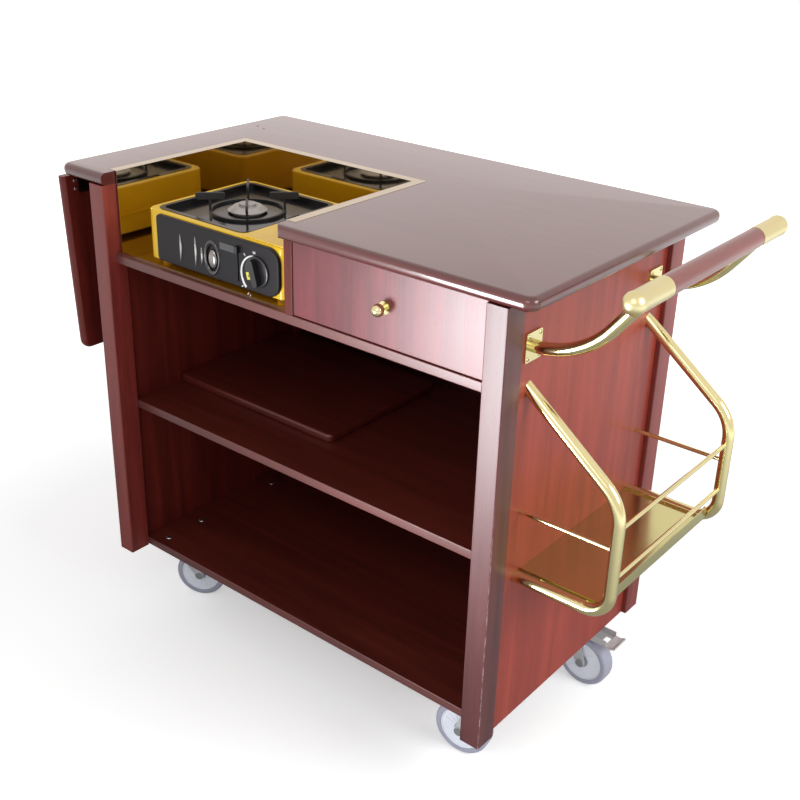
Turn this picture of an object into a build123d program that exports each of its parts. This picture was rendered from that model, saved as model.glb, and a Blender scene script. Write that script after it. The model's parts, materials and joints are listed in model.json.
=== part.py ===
from build123d import *
import os
from math import cos, radians, sin, tan

os.makedirs("parts", exist_ok=True)

# Tableside cooking cart: panelled wooden carcass on four casters, push handle and wire rack on the
# right end, hanging leaf on the left end, a steel-lined well with a portable gas stove in the top.
# Millimetres. X runs along the cart to the handle, Y to the rear, Z up. While it is modelled the
# carcass is centred on X and Y and its posts stand on Z = 0; the last lines move everything so
# that the origin is the centre of the footprint on the floor.

# ---- carcass ----
LENGTH, DEPTH = 870, 510            # over the posts
POST_X, POST_Y, POST_TOP = 36, 42, 738
CASTER_H = 127                      # floor to the posts' lower ends
PANEL, PANEL_SET = 18, 9            # end panels, and how far they sit in from the post faces
BACK_T, BACK_SET = 12, 10
BOARD, DADO = 16, 6                 # shelves, and how deep they are let into the end panels
BOTTOM_Z, MIDDLE_Z, DECK_Z = 17, 320, 613      # top faces of the three boards
DECK_PROUD = 24.6                   # deck board in front of the end panels
COVER_L, COVER_W, COVER_SIDE, COVER_BACK = 394, 300, 2, 37     # loose lid and its place
DIVIDER_X, DIVIDER_T = 12, 18
EASE = 1.5                          # softened edges of the boards

POST_IN_X = LENGTH / 2 - POST_X     # inner faces of the posts
POST_IN_Y = DEPTH / 2 - POST_Y
PANEL_OUT = LENGTH / 2 - PANEL_SET
PANEL_IN = PANEL_OUT - PANEL
BACK_IN = DEPTH / 2 - BACK_SET - BACK_T
DECK_FRONT = -POST_IN_Y - DECK_PROUD

# ---- top board ----
TOP_T = 22
TOP_Z = POST_TOP + TOP_T
OVER_LEFT, OVER_RIGHT, OVER_FRONT, OVER_REAR = 78, 37.5, 1, 47
TOP_LEFT, TOP_RIGHT = -LENGTH / 2 - OVER_LEFT, LENGTH / 2 + OVER_RIGHT
TOP_FRONT, TOP_REAR = -DEPTH / 2 - OVER_FRONT, DEPTH / 2 + OVER_REAR
TOP_NOSE, TOP_CORNER = 10, 18       # rounded edge, and rounding of the corners seen from above
CUT_CORNER = 15

# ---- steel liner of the well ----
LINER_T, FLANGE_W, FLANGE_T = 1.5, 18, 1.2
WELL_DEEP = 305.9                   # liner's front edge to the rear of the cut-out
LINER_SET = 12.1                    # front edge of the liner behind the front of the deck board
FLANGE_SUNK, FLANGE_GAP = 0.8, 0.3  # the flange lies in a shallow rebate, a little proud
LINER_GAP, LINER_GAP_L = 0.5, 2.5   # liner walls to the edge of the cut-out, and at the left
CUT_LEFT, CUT_RIGHT = -POST_IN_X, DIVIDER_X - LINER_T
LINER_FRONT = DECK_FRONT + LINER_SET
CUT_REAR = LINER_FRONT + WELL_DEEP
LINER_L, LINER_R = CUT_LEFT + LINER_GAP_L + LINER_T, CUT_RIGHT - LINER_GAP - LINER_T
LINER_B = CUT_REAR - LINER_GAP - LINER_T
WELL_FLOOR = DECK_Z + LINER_T

# ---- drawer ----
FRONT_GAP, FRONT_T = 1, 18          # gap at the sides of the front, doubled above and below
SLIDE_T, SLIDE_H, SLIDE_RUN, RAIL_T = 12.7, 45, 0.4, 1.2
SLIDE_BACK = 46                     # clear room behind the rails
SLIDE_L = POST_IN_Y + BACK_IN - SLIDE_BACK
SPACER_OVER = 8                     # batten above and below the rail
SIDE_T, GROOVE = 12, 6
DRAWER_FLOOR_T, DRAWER_LIFT, DRAWER_H, FLOOR_UP = 6, 11, 88, 4
DRAWER_LOW = DECK_Z + DRAWER_LIFT
DRAWER_HIGH = DRAWER_LOW + DRAWER_H
KNOB_R, KNOB_OUT = 10, 16.5         # ball, and its centre in front of the drawer
KNOB_Z = DECK_Z + 64

# ---- drop leaf ----
LEAF_T, LEAF_L, LEAF_NOSE = 18, 325, 8
HINGE_IN, HINGE_UP = 6, 3           # pivot, along Y, inside and above the top board's lower edge
HINGE_X, HINGE_Z = TOP_LEFT + HINGE_IN, POST_TOP + HINGE_UP
LEAF_GAP = 6.7                      # pivot to the leaf's hinged edge
LEAF_HANG = 3.5                     # degrees that the leaf hangs in towards the cart
KNUCKLE_R, PIN_R, RUN = 3, 1.4, 0.3
HINGE_W, HINGE_PITCH = 72, 213
HINGE_YS = [(TOP_FRONT + TOP_REAR) / 2 + HINGE_PITCH * k for k in (-1, 0, 1)]

# ---- push handle ----
GRIP_OUT, GRIP_R, CAP_R, BALL_R = 166, 15, 15.5, 16.2
ARM_SET, GRIP_END, CAP_L, TUBE_R, TUBE_WALL = 37.5, 57.5, 94, 9.5, 1.5
ARM_Z, ARM_RISE, ARM_STRAIGHT, ARM_BEND, ARM_TURN = 660, 117, 3, 149, 51
ARM_Y = POST_IN_Y - ARM_SET
GRIP_Y = ARM_Y + GRIP_END
WOOD_Y = GRIP_Y - CAP_L
GRIP_X, GRIP_Z = PANEL_OUT + GRIP_OUT, ARM_Z + ARM_RISE
PLATE_Y, PLATE_Z, PLATE_T = 40, 44, 3

# ---- wire rack ----
RACK_SET, RACK_OUT, RACK_TOP_Z, RACK_LOW_Z = 38, 161.5, 594, 281
RACK_Y, RACK_X = POST_IN_Y - RACK_SET, PANEL_OUT + RACK_OUT
RACK_SLOPE, RACK_BEND, RACK_FOOT = 38, 70, 40
ROD_R = 3.5
GUARD_UPS, END_ROD_UP, CROSS_OUTS = (145, 63), 113, (39, 119)
GUARD_ZS = [RACK_LOW_Z + up for up in GUARD_UPS]
END_ROD_Z = RACK_LOW_Z + END_ROD_UP
CROSS_XS = [PANEL_OUT + out for out in CROSS_OUTS]
TRAY_SIDE, TRAY_SET, TRAY_T, TRAY_LIP, TRAY_HEM = 12, 12.5, 1.5, 23, 5.5
TRAY_Y, TRAY_FRONT = RACK_Y - TRAY_SIDE, RACK_X - TRAY_SET

# ---- casters ----
CASTER_SET_X, CASTER_SET_Y = 67, 111
CASTER_X, CASTER_Y = LENGTH / 2 - CASTER_SET_X, DEPTH / 2 - CASTER_SET_Y
WHEEL_R, WHEEL_W, TRAIL = 50, 30, 32
AXLE_Z = WHEEL_R - CASTER_H
HEADINGS = {"front_left": -152, "front_right": 7, "rear_left": -14, "rear_right": 180}

# ---- stove ----
ST_W, ST_D, ST_H, ST_LIFT = 327, 246, 85.5, 8
ST_SIDE, ST_SET = 14.5, 7.5         # from the right wall and the front edge of the liner
ST_T, ST_ROUND, ST_ROUND_L = 1.2, 12, 20
ST_R, ST_FRONT, ST_LOW = LINER_R - ST_SIDE, LINER_FRONT + ST_SET, WELL_FLOOR + ST_LIFT
ST_L, ST_REAR, ST_TOP = ST_R - ST_W, ST_FRONT + ST_D, ST_LOW + ST_H
HEM_Z = ST_LOW + 32.5               # lower edge of the enamelled cover on the burner side
FACE_T, FACE_W, FACE_SIDE, FACE_UP, FACE_DOWN, FACE_ROUND = 6.5, 288, 6, 1.5, 3, 24
FACE_R, FACE_LOW, FACE_TOP = ST_R - FACE_SIDE, ST_LOW + FACE_UP, ST_TOP - FACE_DOWN
FACE_L = FACE_R - FACE_W
OVAL_X, OVAL_Z, OVAL_W, OVAL_H = FACE_R - 150, ST_LOW + 35.1, 15, 24
DIAL_X, DIAL_Z, DIAL_R = FACE_R - 46.6, ST_LOW + 37.5, 21
LEVER_X, LEVER_LOW, LEVER_HIGH = FACE_R - 90, FACE_LOW + 9, FACE_TOP - 11
PAN_W, PAN_D, PAN_SIDE, PAN_SET, PAN_DEEP = 216, 224, 98, 11, 10
PAN_R, PAN_FRONT = ST_R - PAN_SIDE, ST_FRONT + PAN_SET
PAN_L, PAN_REAR = PAN_R - PAN_W, PAN_FRONT + PAN_D
BURNER_X, BURNER_Y = (PAN_L + PAN_R) / 2, (PAN_FRONT + PAN_REAR) / 2
CANISTER_R, CANISTER_L, CANISTER_SET = 33, 178, 28
BAY_X, BAY_Z, CAN_FRONT = ST_R - 48, ST_LOW + 37.5, ST_FRONT + CANISTER_SET
CAN_REAR = CAN_FRONT + CANISTER_L

nodes = {}


def keep(name, *solids):
    """Store one node; several solids stay separate inside it."""
    shape = solids[0] if len(solids) == 1 else Compound(children=list(solids))
    nodes[name] = shape


def block(x0, x1, y0, y1, z0, z1):
    """Rectangular block between two corners."""
    return Pos((x0 + x1) / 2, (y0 + y1) / 2, (z0 + z1) / 2) * Box(x1 - x0, y1 - y0, z1 - z0)


def bar(start, end, r):
    """Round bar between two points."""
    run = Vector(*end) - Vector(*start)
    return Plane(origin=start, z_dir=run) * Cylinder(
        r, run.length, align=(Align.CENTER, Align.CENTER, Align.MIN))


def tube(path, r, wall):
    """Round tube along a path, open at its ends."""
    across = Plane(origin=path @ 0, z_dir=path % 0)
    return sweep(across * (Circle(r) - Circle(r - wall)), path=path)


def upright(shape):
    """Edges of a shape that run along Z."""
    return shape.edges().filter_by(Axis.Z)


def ease_front(board, r=EASE):
    """Soften the two long front edges of a board."""
    return fillet(board.edges().filter_by(Axis.X).group_by(Axis.Y)[0], r)


# Posts and panels
for side, sx in (("left", -1), ("right", 1)):
    for end, sy in (("front", -1), ("rear", 1)):
        post = Pos(sx * (LENGTH - POST_X) / 2, sy * (DEPTH - POST_Y) / 2, POST_TOP / 2) * Box(
            POST_X, POST_Y, POST_TOP)
        keep(f"post_{end}_{side}", fillet(upright(post), 2))

for side, sx in (("left", -1), ("right", 1)):
    panel = block(*sorted((sx * PANEL_IN, sx * PANEL_OUT)), -POST_IN_Y, POST_IN_Y, 0, POST_TOP)
    for top in (BOTTOM_Z, MIDDLE_Z, DECK_Z):
        panel -= block(*sorted((sx * PANEL_IN, sx * (PANEL_IN + DADO))),
                       -POST_IN_Y, POST_IN_Y, top - BOARD, top)
    keep(f"end_panel_{side}", panel)

keep("back_panel", block(-POST_IN_X, POST_IN_X, BACK_IN, BACK_IN + BACK_T, 0, POST_TOP))


def shelf(top, front):
    """Board between the end panels, notched round the posts."""
    wide = PANEL_IN + DADO
    board = block(-wide, wide, -POST_IN_Y, POST_IN_Y, top - BOARD, top)
    board += block(-POST_IN_X, POST_IN_X, POST_IN_Y, BACK_IN, top - BOARD, top)
    if front < -POST_IN_Y:
        board += block(-POST_IN_X, POST_IN_X, front, -POST_IN_Y, top - BOARD, top)
    return ease_front(board)


keep("bottom_shelf", shelf(BOTTOM_Z, -POST_IN_Y))
keep("middle_shelf", shelf(MIDDLE_Z, -POST_IN_Y))
keep("deck_board", shelf(DECK_Z, DECK_FRONT))
divider = block(DIVIDER_X, DIVIDER_X + DIVIDER_T, DECK_FRONT, BACK_IN, DECK_Z, POST_TOP)
keep("drawer_divider", fillet(upright(divider).group_by(Axis.Y)[0], EASE))

# Top board with its open-fronted cut-out, rounded edges and pockets for the leaf hinges
plan = Pos((TOP_LEFT + TOP_RIGHT) / 2, (TOP_FRONT + TOP_REAR) / 2) * RectangleRounded(
    TOP_RIGHT - TOP_LEFT, TOP_REAR - TOP_FRONT, TOP_CORNER)
top = extrude(Pos(0, 0, POST_TOP) * plan, TOP_T)
top = fillet(top.faces().filter_by(Axis.Z).edges(), TOP_NOSE)
cut = block(CUT_LEFT, CUT_RIGHT, TOP_FRONT - 1, CUT_REAR, POST_TOP - 1, TOP_Z + 1)
corner = block(CUT_RIGHT - 1, CUT_RIGHT + CUT_CORNER, TOP_FRONT - 1, TOP_FRONT + CUT_CORNER,
               POST_TOP - 1, TOP_Z + 1)
corner -= Pos(CUT_RIGHT + CUT_CORNER, TOP_FRONT + CUT_CORNER, POST_TOP + TOP_T / 2) * Cylinder(
    CUT_CORNER, TOP_T + 4)
top = top - cut - corner
for y in HINGE_YS:
    top -= block(TOP_LEFT - 1, HINGE_X + KNUCKLE_R + 1.5, y - HINGE_W / 2 - 1, y + HINGE_W / 2 + 1,
                 POST_TOP - 1, HINGE_Z + KNUCKLE_R + 1)


def flange_plan(grow, low, high):
    """Outline of the liner's flange, with its rear corners rounded."""
    plan = block(LINER_L - FLANGE_W - grow, LINER_R + FLANGE_W + grow, LINER_FRONT - grow,
                 LINER_B + FLANGE_W + grow, low, high)
    return fillet(upright(plan).group_by(Axis.Y)[-1], 4 + grow)


flange_low = TOP_Z - FLANGE_SUNK
keep("top_board", top - flange_plan(FLANGE_GAP, flange_low, TOP_Z + 1))

# Folded steel liner: floor, three walls, and a flange in the top board's rebate
liner = block(LINER_L - LINER_T, LINER_R + LINER_T, LINER_FRONT, LINER_B + LINER_T,
              DECK_Z, flange_low + FLANGE_T)
liner += flange_plan(0, flange_low, flange_low + FLANGE_T)
liner -= block(LINER_L, LINER_R, LINER_FRONT - 1, LINER_B, WELL_FLOOR, TOP_Z + 5)
keep("well_liner", liner)

# Drawer: fixed rails on the divider and on a batten that brings the right rail clear of the post
rail_z = (DRAWER_LOW + DRAWER_HIGH) / 2
slot_l, slot_r = DIVIDER_X + DIVIDER_T, POST_IN_X
rail_y = -POST_IN_Y
keep("runner_spacer", block(slot_r, PANEL_IN, rail_y, rail_y + SLIDE_L,
                            rail_z - SLIDE_H / 2 - SPACER_OVER, rail_z + SLIDE_H / 2 + SPACER_OVER))


def rail(x0, x1, y0, height, open_left):
    """Folded drawer rail: a shallow channel with its lips turned to one side."""
    web = RAIL_T
    solid = block(x0, x1, y0, y0 + SLIDE_L, rail_z - height / 2, rail_z + height / 2)
    a, b = (x0 - 1, x1 - web) if open_left else (x0 + web, x1 + 1)
    return solid - block(a, b, y0 - 1, y0 + SLIDE_L + 1, rail_z - height / 2 + web,
                         rail_z + height / 2 - web)


fixed_t = 10                        # the drawer's rail runs inside the fixed one
moving_t = SLIDE_T - RAIL_T - 0.8
moving_h = SLIDE_H - 2 * (RAIL_T + SLIDE_RUN)
keep("drawer_runners", rail(slot_l, slot_l + fixed_t, rail_y, SLIDE_H, False),
     rail(slot_r - fixed_t, slot_r, rail_y, SLIDE_H, True))

front_y = DECK_FRONT + FRONT_T
face = block(slot_l + FRONT_GAP, slot_r - FRONT_GAP, DECK_FRONT, front_y,
             DECK_Z + 2 * FRONT_GAP, POST_TOP - 2 * FRONT_GAP)
face = fillet(face.faces().sort_by(Axis.Y)[0].edges(), 2)
box_l, box_r, box_rear = slot_l + SLIDE_T, slot_r - SLIDE_T, front_y + SLIDE_L
floor_z = DRAWER_LOW + FLOOR_UP
floor_board = block(box_l + SIDE_T - GROOVE, box_r - SIDE_T + GROOVE, front_y - GROOVE, box_rear,
                    floor_z, floor_z + DRAWER_FLOOR_T)
keep("drawer_front", face - floor_board)
keep("drawer_sides",
     block(box_l, box_l + SIDE_T, front_y, box_rear, DRAWER_LOW, DRAWER_HIGH) - floor_board,
     block(box_r - SIDE_T, box_r, front_y, box_rear, DRAWER_LOW, DRAWER_HIGH) - floor_board)
keep("drawer_back", block(box_l + SIDE_T, box_r - SIDE_T, box_rear - SIDE_T, box_rear,
                          floor_z + DRAWER_FLOOR_T, DRAWER_HIGH))
keep("drawer_bottom", floor_board)
keep("drawer_slides", rail(box_l - moving_t, box_l, front_y, moving_h, True),
     rail(box_r, box_r + moving_t, front_y, moving_h, False))
knob_x = (slot_l + slot_r) / 2
knob = bar((knob_x, DECK_FRONT, KNOB_Z), (knob_x, DECK_FRONT - 2.5, KNOB_Z), KNOB_R)
knob += bar((knob_x, DECK_FRONT - 2, KNOB_Z), (knob_x, DECK_FRONT - KNOB_OUT, KNOB_Z), 5)
knob += Pos(knob_x, DECK_FRONT - KNOB_OUT, KNOB_Z) * Sphere(KNOB_R)
keep("drawer_knob", knob)

# Drop leaf, drawn hanging straight down and then turned to the angle it hangs at
leaf_top = HINGE_Z - LEAF_GAP
leaf_out = HINGE_X - (TOP_Z - HINGE_Z)          # outer face, flush with the top when raised
leaf_in = leaf_out + LEAF_T
plan = Pos((TOP_FRONT + TOP_REAR) / 2, -LEAF_L / 2) * Rectangle(TOP_REAR - TOP_FRONT, LEAF_L)
plan = fillet(plan.vertices().group_by(Axis.Y)[0], TOP_CORNER)
leaf = extrude(Plane(origin=(leaf_out, 0, leaf_top), x_dir=(0, 1, 0), z_dir=(1, 0, 0)) * plan,
               LEAF_T)
edges = leaf.faces().filter_by(Axis.X).edges()
leaf = fillet(edges.filter_by(lambda e: (e @ 0.5).Z < leaf_top - 0.1), LEAF_NOSE)
swing = Pos(HINGE_X, 0, HINGE_Z) * Rot(0, -LEAF_HANG, 0) * Pos(-HINGE_X, 0, -HINGE_Z)
third = (HINGE_W - 4 * RUN) / 3
fixed, moving = [], []
for y in HINGE_YS:
    y0, y1 = y - HINGE_W / 2, y + HINGE_W / 2
    plate = block(HINGE_X + KNUCKLE_R, HINGE_X + 30, y0, y1, POST_TOP - 1.5, POST_TOP)
    plate += bar((HINGE_X, y0, HINGE_Z), (HINGE_X, y0 + third, HINGE_Z), KNUCKLE_R)
    plate += bar((HINGE_X, y1 - third, HINGE_Z), (HINGE_X, y1, HINGE_Z), KNUCKLE_R)
    for a, b in ((y0, y0 + third), (y1 - third, y1)):
        plate += block(HINGE_X + 1.5, HINGE_X + KNUCKLE_R + 1, a, b, POST_TOP - 1.5, HINGE_Z)
    plate += bar((HINGE_X, y0, HINGE_Z), (HINGE_X, y1, HINGE_Z), PIN_R)
    fixed.append(plate)
    flap = block(leaf_in, leaf_in + 1.2, y0, y1, HINGE_Z - 40, leaf_top - 0.5)
    flap += block(leaf_in, leaf_in + 1.2, y - third / 2, y + third / 2, leaf_top - 1, HINGE_Z - 1)
    flap += bar((HINGE_X, y - third / 2, HINGE_Z), (HINGE_X, y + third / 2, HINGE_Z), KNUCKLE_R)
    flap -= bar((HINGE_X, y0, HINGE_Z), (HINGE_X, y1, HINGE_Z), PIN_R + RUN)
    moving.append(swing * flap)
keep("leaf_hinge_fixed", *fixed)
keep("drop_leaf", swing * leaf)
keep("leaf_hinge_moving", *moving)

# Lid of the well, stored on the middle shelf
cover_l, cover_rear = -PANEL_IN + COVER_SIDE, BACK_IN - COVER_BACK
cover = block(cover_l, cover_l + COVER_L, cover_rear - COVER_W, cover_rear, MIDDLE_Z + 0.1,
              MIDDLE_Z + 0.1 + BOARD)
cover = fillet(upright(cover), 12)
keep("cover_board", fillet(cover.faces().filter_by(Axis.Z).edges(), 5))

# Push handle: wooden grip, brass caps that end in a ball, two bent arms welded to wall plates
keep("handle_grip", bar((GRIP_X, -WOOD_Y, GRIP_Z), (GRIP_X, WOOD_Y, GRIP_Z), GRIP_R))
for end, sy in (("front", -1), ("rear", 1)):
    ball_y = sy * (GRIP_Y - BALL_R)
    cap = bar((GRIP_X, sy * WOOD_Y, GRIP_Z), (GRIP_X, ball_y, GRIP_Z), CAP_R)
    keep(f"handle_cap_{end}", cap + Pos(GRIP_X, ball_y, GRIP_Z) * Sphere(BALL_R))
    with BuildLine() as arm_line:
        first = Line((PANEL_OUT, ARM_Z), (PANEL_OUT + ARM_STRAIGHT, ARM_Z))
        bend = JernArc(first @ 1, (1, 0), ARM_BEND, ARM_TURN)
        TangentArc(bend @ 1, (GRIP_X, GRIP_Z), tangent=bend % 1)
    path = Pos(0, sy * ARM_Y, 0) * (Plane.XZ * arm_line.wire())
    arm = tube(path, TUBE_R, TUBE_WALL)
    arm -= bar((GRIP_X, -GRIP_Y, GRIP_Z), (GRIP_X, GRIP_Y, GRIP_Z), CAP_R)
    arm = arm.solids().sort_by(Axis.X)[0]
    plate = block(PANEL_OUT, PANEL_OUT + PLATE_T, sy * ARM_Y - PLATE_Y / 2, sy * ARM_Y + PLATE_Y / 2,
                  ARM_Z - PLATE_Z / 2, ARM_Z + PLATE_Z / 2)
    plate = fillet(plate.edges().filter_by(Axis.X), 4)
    keep(f"handle_arm_{end}", plate - bar((0, sy * ARM_Y, ARM_Z), (GRIP_X, sy * ARM_Y, ARM_Z),
                                          TUBE_R) + arm)

# Wire rack: two bent side tubes, guard and end rods, cross rods that carry a folded tray
drop = (RACK_X - PANEL_OUT) * tan(radians(RACK_SLOPE))
knee = RACK_TOP_Z - drop
t = RACK_BEND * tan(radians((90 - RACK_SLOPE) / 2))
slope = (cos(radians(RACK_SLOPE)), -sin(radians(RACK_SLOPE)))
with BuildLine() as rack_line:
    upper = Line((PANEL_OUT, RACK_TOP_Z), (RACK_X - t * slope[0], knee - t * slope[1]))
    TangentArc(upper @ 1, (RACK_X, knee - t), tangent=slope)
    Line((RACK_X, knee - t), (RACK_X, RACK_LOW_Z + RACK_FOOT))
    TangentArc((RACK_X, RACK_LOW_Z + RACK_FOOT), (RACK_X - RACK_FOOT, RACK_LOW_Z), tangent=(0, -1))
    Line((RACK_X - RACK_FOOT, RACK_LOW_Z), (PANEL_OUT, RACK_LOW_Z))
outside = block(PANEL_OUT, RACK_X + 100, -DEPTH, DEPTH, 0, POST_TOP)
solid_sides = []
for end, sy in (("front", -1), ("rear", 1)):
    path = Pos(0, sy * RACK_Y, 0) * (Plane.XZ * rack_line.wire())
    # the sloping end is cut flush with the panel
    stub = bar((PANEL_OUT, sy * RACK_Y, RACK_TOP_Z),
               (PANEL_OUT - 12, sy * RACK_Y, RACK_TOP_Z + 12 * tan(radians(RACK_SLOPE))), TUBE_R)
    stub -= bar((PANEL_OUT + 1, sy * RACK_Y, RACK_TOP_Z - tan(radians(RACK_SLOPE))),
                (PANEL_OUT - 14, sy * RACK_Y, RACK_TOP_Z + 14 * tan(radians(RACK_SLOPE))),
                TUBE_R - TUBE_WALL)
    side = (tube(path, TUBE_R, TUBE_WALL) + stub) & outside
    keep(f"rack_side_{end}", side)
    across = Plane(origin=path @ 0, z_dir=path % 0)
    solid_sides.append(sweep(across * Circle(TUBE_R), path=path))


def between(start, end):
    """Rod that is cut to the outside of the two side tubes."""
    rod = bar(start, end, ROD_R)
    for solid in solid_sides:
        rod -= solid
    return rod.solids().sort_by(SortBy.VOLUME)[-1]


keep("rack_guard_rods", *[between((RACK_X, -RACK_Y, z), (RACK_X, RACK_Y, z)) for z in GUARD_ZS])
keep("rack_end_rods", *[between((PANEL_OUT, y, END_ROD_Z), (RACK_X, y, END_ROD_Z))
                        for y in (-RACK_Y, RACK_Y)])
keep("rack_cross_rods", *[between((x, -RACK_Y, RACK_LOW_Z), (x, RACK_Y, RACK_LOW_Z))
                          for x in CROSS_XS])
tray_z = RACK_LOW_Z + ROD_R
tray = block(PANEL_OUT, TRAY_FRONT, -TRAY_Y, TRAY_Y, tray_z, tray_z + TRAY_LIP)
tray = fillet(tray.edges().filter_by(Axis.Y).group_by(Axis.Z)[0].sort_by(Axis.X)[-1], 4)
tray -= fillet(block(PANEL_OUT - 1, TRAY_FRONT - TRAY_T, -TRAY_Y + TRAY_T, TRAY_Y - TRAY_T,
                     tray_z + TRAY_T, tray_z + 60).edges().filter_by(Axis.Y)
               .group_by(Axis.Z)[0].sort_by(Axis.X)[-1], 2.5)
for y in (-TRAY_Y, TRAY_Y - TRAY_T):           # the sides keep only a low hem
    tray -= block(PANEL_OUT - 1, TRAY_FRONT - 3 * TRAY_T, y - 0.1, y + TRAY_T + 0.1,
                  tray_z + TRAY_HEM, tray_z + 60)
keep("rack_tray", tray)

# Casters: plate on the cart, swivelling fork, wheel on its axle, brake pedals on the rear pair
PLATE_LOW, RACE_LOW, CROWN_LOW = -2, -11, -15
PLATE_HX, PLATE_HY = 32, 54
LEG_IN, LEG_T = WHEEL_W / 2 + 3, 2.5
PEDAL_X, PEDAL_Z, PEDAL_W = -43, -11, 19
plates = [block(x - PLATE_HX, x + PLATE_HX, y - PLATE_HY, y + PLATE_HY, PLATE_LOW,
                BOTTOM_Z - BOARD) for x in (-CASTER_X, CASTER_X) for y in (-CASTER_Y, CASTER_Y)]
keep("caster_plates", *[fillet(upright(p), 6) for p in plates])


def caster_fork(braked):
    """Swivel race, crown and two legs, with ears for the pedal on a braked caster."""
    fork = Pos(0, 0, (PLATE_LOW - RUN + RACE_LOW) / 2) * Cylinder(27, PLATE_LOW - RUN - RACE_LOW)
    half = LEG_IN + LEG_T
    crown = block(-TRAIL - 2, 22, -half, half, CROWN_LOW, RACE_LOW)
    fork += fillet(upright(crown), 5)
    leg = Plane.XZ * make_face(Polyline((20, CROWN_LOW + 1), (-20, CROWN_LOW + 1),
                                        (-TRAIL - 8, AXLE_Z + 4), (-TRAIL - 8, AXLE_Z - 4),
                                        (-TRAIL - 3, AXLE_Z - 9), (-TRAIL + 4, AXLE_Z - 9),
                                        (-TRAIL + 9, AXLE_Z - 3), close=True))
    for y in (-half, LEG_IN):
        fork += Pos(0, y, 0) * extrude(leg, -LEG_T)
    fork -= bar((-TRAIL, -half - 1, AXLE_Z), (-TRAIL, half + 1, AXLE_Z), 5)
    if braked:
        for y in (-PEDAL_W - RUN - 2.5, PEDAL_W + RUN):
            fork += block(PEDAL_X - 5, -TRAIL + 4, y, y + 2.5, PEDAL_Z - 5, PEDAL_Z + 4)
            inner = sorted((y + 1.25, (half - 2) * (1 if y > 0 else -1)))
            fork += block(-TRAIL - 2, -TRAIL + 4, *inner, CROWN_LOW, RACE_LOW)
        fork += bar((PEDAL_X, -PEDAL_W - RUN - 2, PEDAL_Z), (PEDAL_X, PEDAL_W + RUN + 2, PEDAL_Z), 2)
    return fork


def caster_wheel():
    """Tyre with a rounded tread, dished sides and a bored hub."""
    tyre = bar((-TRAIL, -WHEEL_W / 2, AXLE_Z), (-TRAIL, WHEEL_W / 2, AXLE_Z), WHEEL_R)
    tyre = fillet(tyre.edges().filter_by(GeomType.CIRCLE), 6)
    for sy in (-1, 1):
        dish = bar((-TRAIL, sy * (WHEEL_W / 2 - 5), AXLE_Z), (-TRAIL, sy * (WHEEL_W / 2 + 1), AXLE_Z),
                   WHEEL_R - 11)
        dish -= bar((-TRAIL, 0, AXLE_Z), (-TRAIL, sy * (WHEEL_W / 2 + 2), AXLE_Z), 12)
        tyre -= dish
    return tyre - bar((-TRAIL, -WHEEL_W, AXLE_Z), (-TRAIL, WHEEL_W, AXLE_Z), 5 + RUN)


def caster_axle():
    """Through bolt with a low round head on each side."""
    half = LEG_IN + LEG_T
    axle = bar((-TRAIL, -half, AXLE_Z), (-TRAIL, half, AXLE_Z), 5)
    for sy in (-1, 1):
        axle += bar((-TRAIL, sy * half, AXLE_Z), (-TRAIL, sy * (half + 3.5), AXLE_Z), 8)
    return axle


def brake_pedal():
    """Channel on a pin, with a ribbed foot tread at its end and a brake tongue under it."""
    start, channel, tip, wall = PEDAL_X + 3, PEDAL_X - 35, PEDAL_X - 54, 1.5
    low, high = PEDAL_Z - 9, PEDAL_Z + 3
    pedal = block(channel, start, -PEDAL_W, PEDAL_W, low, high)
    pedal -= block(channel - 1, start + 1, wall - PEDAL_W, PEDAL_W - wall, low + wall, high + 1)
    pedal -= block(channel + 3, channel + 14, -PEDAL_W / 2, PEDAL_W / 2, low - 1, low + 3)
    tread = Plane.XZ * make_face(Polyline(
        (channel + 1, low), (channel - 8, low - 1), (tip, low + 3), (tip + 0.5, low + 6),
        (channel - 8, low + 2), (channel + 1, low + 3.5), close=True))
    pedal += Pos(0, PEDAL_W + 1.5, 0) * extrude(tread, 2 * PEDAL_W + 3)
    for k in range(4):
        x = channel - 4 - 3.5 * k
        pedal += bar((x, -PEDAL_W + 2, low + 2.4 + 0.35 * k), (x, PEDAL_W - 2, low + 2.4 + 0.35 * k), 0.9)
    pedal += block(PEDAL_X - 11, PEDAL_X - 8, -12, 12, low - 2, low + 1)
    pedal += bar((PEDAL_X, -PEDAL_W, PEDAL_Z), (PEDAL_X, PEDAL_W, PEDAL_Z), 4.5)
    pedal -= bar((PEDAL_X, -PEDAL_W - 1, PEDAL_Z), (PEDAL_X, PEDAL_W + 1, PEDAL_Z), 2 + RUN)
    return pedal


for place, heading in HEADINGS.items():
    end, side = place.split("_")
    at = Pos(CASTER_X * (1 if side == "right" else -1), CASTER_Y * (1 if end == "rear" else -1),
             0) * Rot(0, 0, heading)
    keep(f"caster_fork_{place}", at * caster_fork(end == "rear"))
    keep(f"caster_axle_{place}", at * caster_axle())
    keep(f"caster_wheel_{place}", at * caster_wheel())
    if end == "rear":
        keep(f"brake_pedal_{place}", at * brake_pedal())

# Stove body: steel shell with a partition between the burner and the canister bay


def stove_case(inset):
    """Stove body set in by a wall, with larger corners at the burner end."""
    case = block(ST_L + inset, ST_R - inset, ST_FRONT + inset, ST_REAR - inset, ST_LOW + inset,
                 ST_TOP - inset)
    case = fillet(upright(case).group_by(Axis.X)[0], ST_ROUND_L - inset)
    return fillet(upright(case).group_by(Axis.X)[-1], ST_ROUND - inset)


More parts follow.
